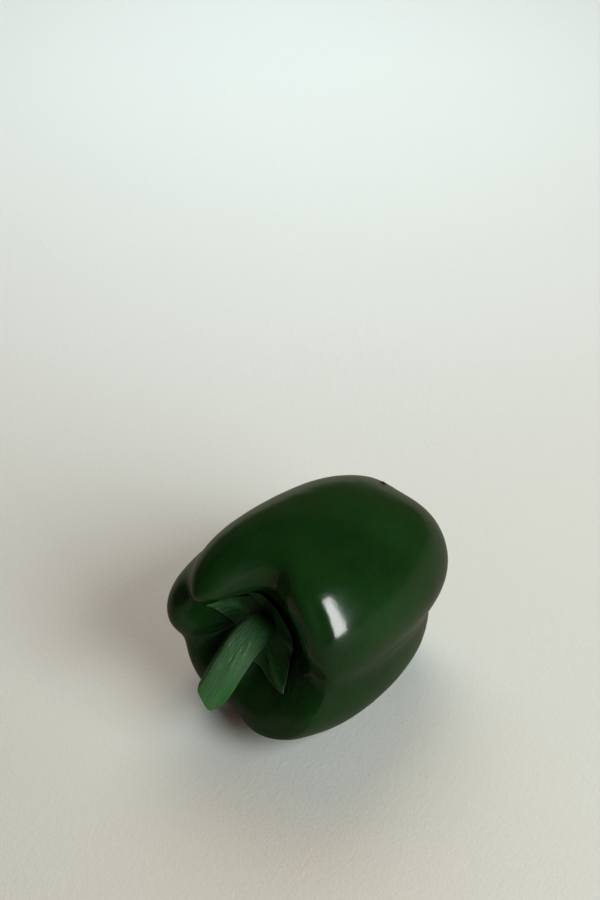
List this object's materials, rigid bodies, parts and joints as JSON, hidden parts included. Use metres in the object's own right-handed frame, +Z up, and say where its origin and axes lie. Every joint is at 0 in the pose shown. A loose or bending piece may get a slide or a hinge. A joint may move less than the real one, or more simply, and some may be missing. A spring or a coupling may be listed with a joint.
{
  "type": "bell pepper",
  "caption": "Large green bell pepper lying on its side, a lobed glossy fruit with a star-shaped calyx in its stem-end hollow and a thick bent stem.",
  "frame": {"origin": "on the surface that the pepper lies on, under the middle of its bounding box", "axes": "+X along the pepper from the stem end to the blossom end, +Y across it, +Z up"},
  "size_m": [0.1158, 0.0838, 0.0848],
  "materials": {
    "skin": "smooth waxy dark green skin",
    "calyx": "leafy mid green, satin",
    "stem": "fleshy light green stalk, satin"
  },
  "bodies": {
    "root": {"fruit": "skin", "calyx": "calyx", "stem": "stem"}
  },
  "joints": []
}
